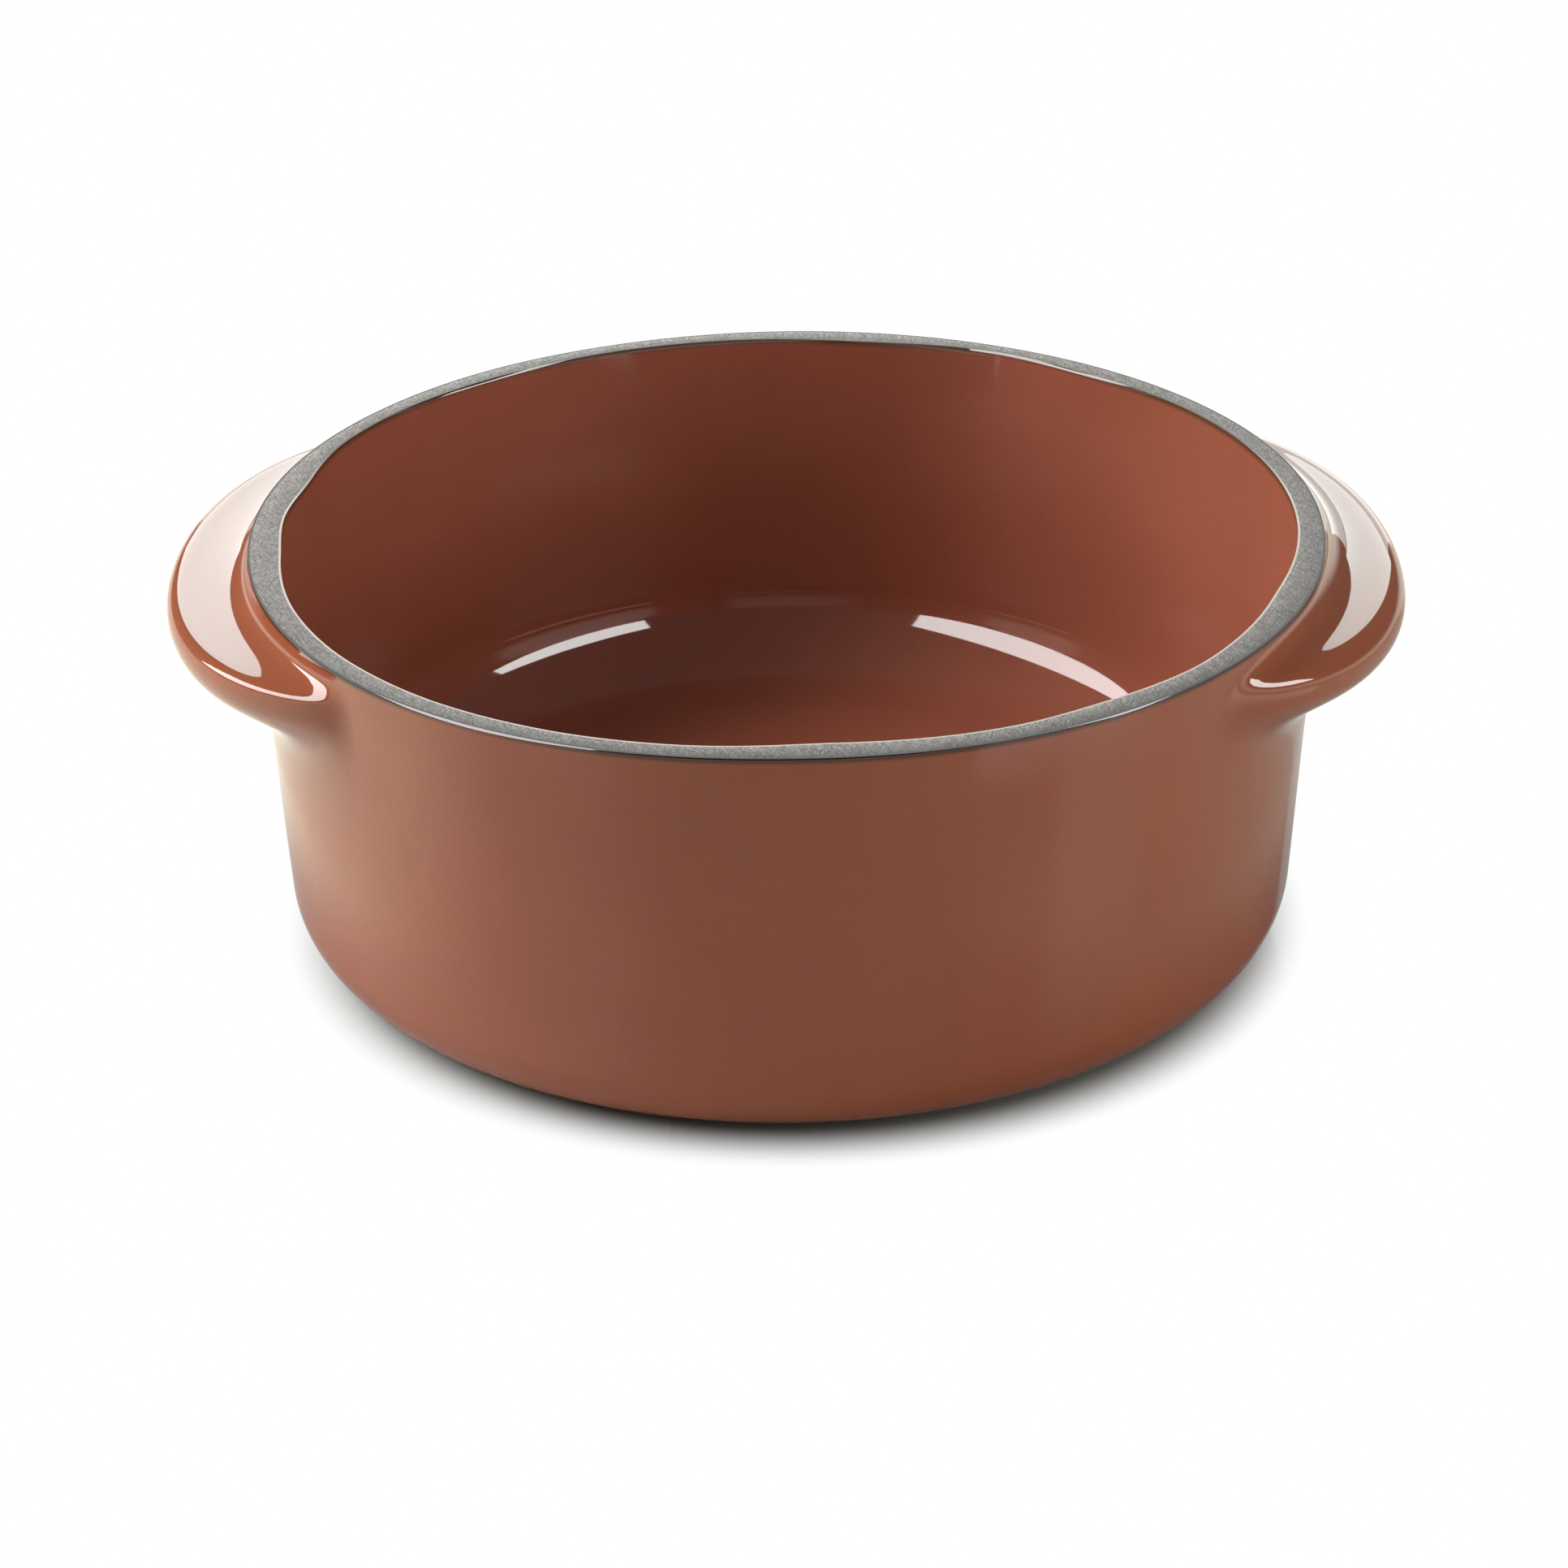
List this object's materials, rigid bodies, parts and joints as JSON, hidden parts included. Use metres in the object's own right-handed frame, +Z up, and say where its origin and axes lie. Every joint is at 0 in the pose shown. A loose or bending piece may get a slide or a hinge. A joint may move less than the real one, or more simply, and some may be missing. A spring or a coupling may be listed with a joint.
{
  "type": "casserole dish",
  "caption": "Round glazed stoneware casserole dish with a nearly upright wall, a bare ground rim, a foot ring and thick lug handles, for baking and serving.",
  "frame": {"origin": "on the surface that the dish stands on, under the middle of the dish", "axes": "+Z up along the axis of the round wall, +X through the middle of the right handle"},
  "size_m": [0.1738, 0.15, 0.0605],
  "materials": {
    "stoneware": "bare, ground matt on the rim",
    "glaze": "glossy cinnamon glaze"
  },
  "bodies": {
    "root": {"clay_pot": "stoneware", "left_handle": "stoneware", "right_handle": "stoneware", "inner_glaze": "glaze", "outer_glaze": "glaze", "left_handle_glaze": "glaze", "right_handle_glaze": "glaze", "underside_glaze": "glaze"}
  },
  "joints": []
}
